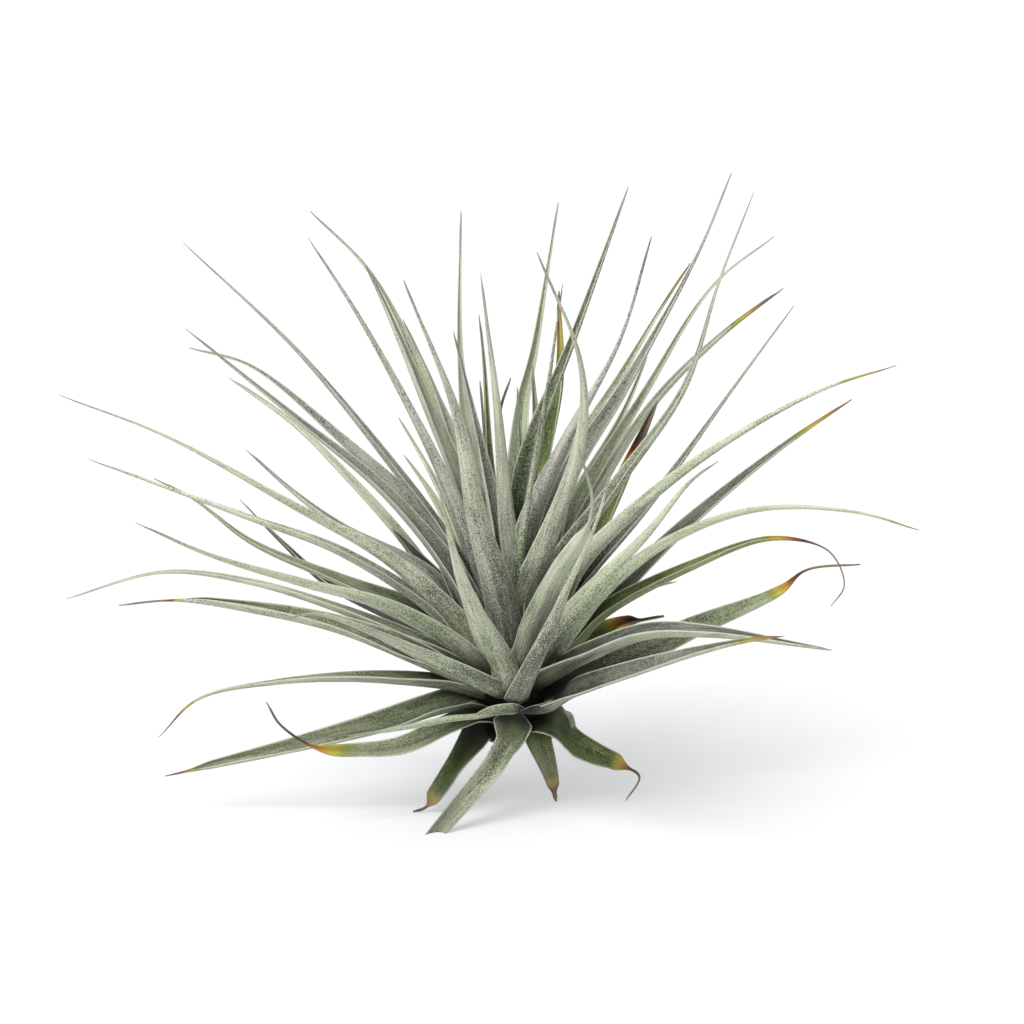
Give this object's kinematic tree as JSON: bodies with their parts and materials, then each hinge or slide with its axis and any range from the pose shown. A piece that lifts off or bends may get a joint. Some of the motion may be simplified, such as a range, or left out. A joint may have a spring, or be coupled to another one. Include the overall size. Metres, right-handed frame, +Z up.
{
  "type": "tillandsia stricta air plant",
  "caption": "Rootless air plant: a short stem with a rosette of narrow arching leaves in silvery green with dry tips, standing on its lowest leaves.",
  "frame": {"origin": "on the surface that the plant stands on, below the middle of its outline seen from above", "axes": "+X to the right seen from the front, along the plant's widest spread; +Y away from the front, towards the back; +Z up"},
  "size_m": [0.192, 0.1534, 0.1451],
  "materials": {
    "leaf_silver": "matt, silvery with fine scales",
    "leaf_green": "matt, green with fine scales",
    "leaf_dark": "matt, dark green",
    "stem_bark": "dry and fibrous"
  },
  "bodies": {
    "root": {"foot_leaf_front": "leaf_silver", "foot_leaf_left": "leaf_green", "foot_leaf_middle": "leaf_dark", "foot_leaf_rear": "leaf_green", "foot_leaf_rear_left": "leaf_dark", "foot_leaf_right": "leaf_green", "front_leaf_left": "leaf_silver", "front_leaf_middle": "leaf_silver", "front_leaf_right": "leaf_silver", "heart": "leaf_silver", "left_leaf_01": "leaf_silver", "left_leaf_02": "leaf_dark", "left_leaf_03": "leaf_silver", "left_leaf_04": "leaf_silver", "left_leaf_05": "leaf_silver", "left_leaf_06": "leaf_silver", "left_leaf_07": "leaf_green", "left_leaf_08": "leaf_dark", "left_leaf_09": "leaf_silver", "left_leaf_10": "leaf_silver", "lower_leaf_hooked": "leaf_green", "lower_leaf_long": "leaf_silver", "lower_leaf_short": "leaf_silver", "rear_leaf_01": "leaf_green", "rear_leaf_02": "leaf_green", "rear_leaf_03": "leaf_green", "rear_leaf_04": "leaf_green", "rear_leaf_05": "leaf_green", "rear_leaf_06": "leaf_green", "rear_leaf_07": "leaf_green", "rear_leaf_08": "leaf_green", "rear_leaf_09": "leaf_green", "right_leaf_01": "leaf_silver", "right_leaf_02": "leaf_silver", "right_leaf_03": "leaf_silver", "right_leaf_04": "leaf_green", "right_leaf_05": "leaf_green", "right_leaf_06": "leaf_silver", "stem": "stem_bark", "upper_left_leaf_01": "leaf_silver", "upper_left_leaf_02": "leaf_silver", "upper_left_leaf_03": "leaf_green", "upper_left_leaf_04": "leaf_silver", "upper_left_leaf_05": "leaf_silver", "upper_left_leaf_06": "leaf_silver", "upper_left_leaf_07": "leaf_dark", "upper_right_leaf_01": "leaf_silver", "upper_right_leaf_02": "leaf_green", "upper_right_leaf_03": "leaf_green", "upper_right_leaf_04": "leaf_silver", "upper_right_leaf_05": "leaf_silver", "upper_right_leaf_06": "leaf_silver", "upper_right_leaf_07": "leaf_dark", "upper_right_leaf_08": "leaf_dark", "upper_right_leaf_09": "leaf_silver", "upper_right_leaf_10": "leaf_dark", "upper_right_leaf_11": "leaf_silver"}
  },
  "joints": []
}
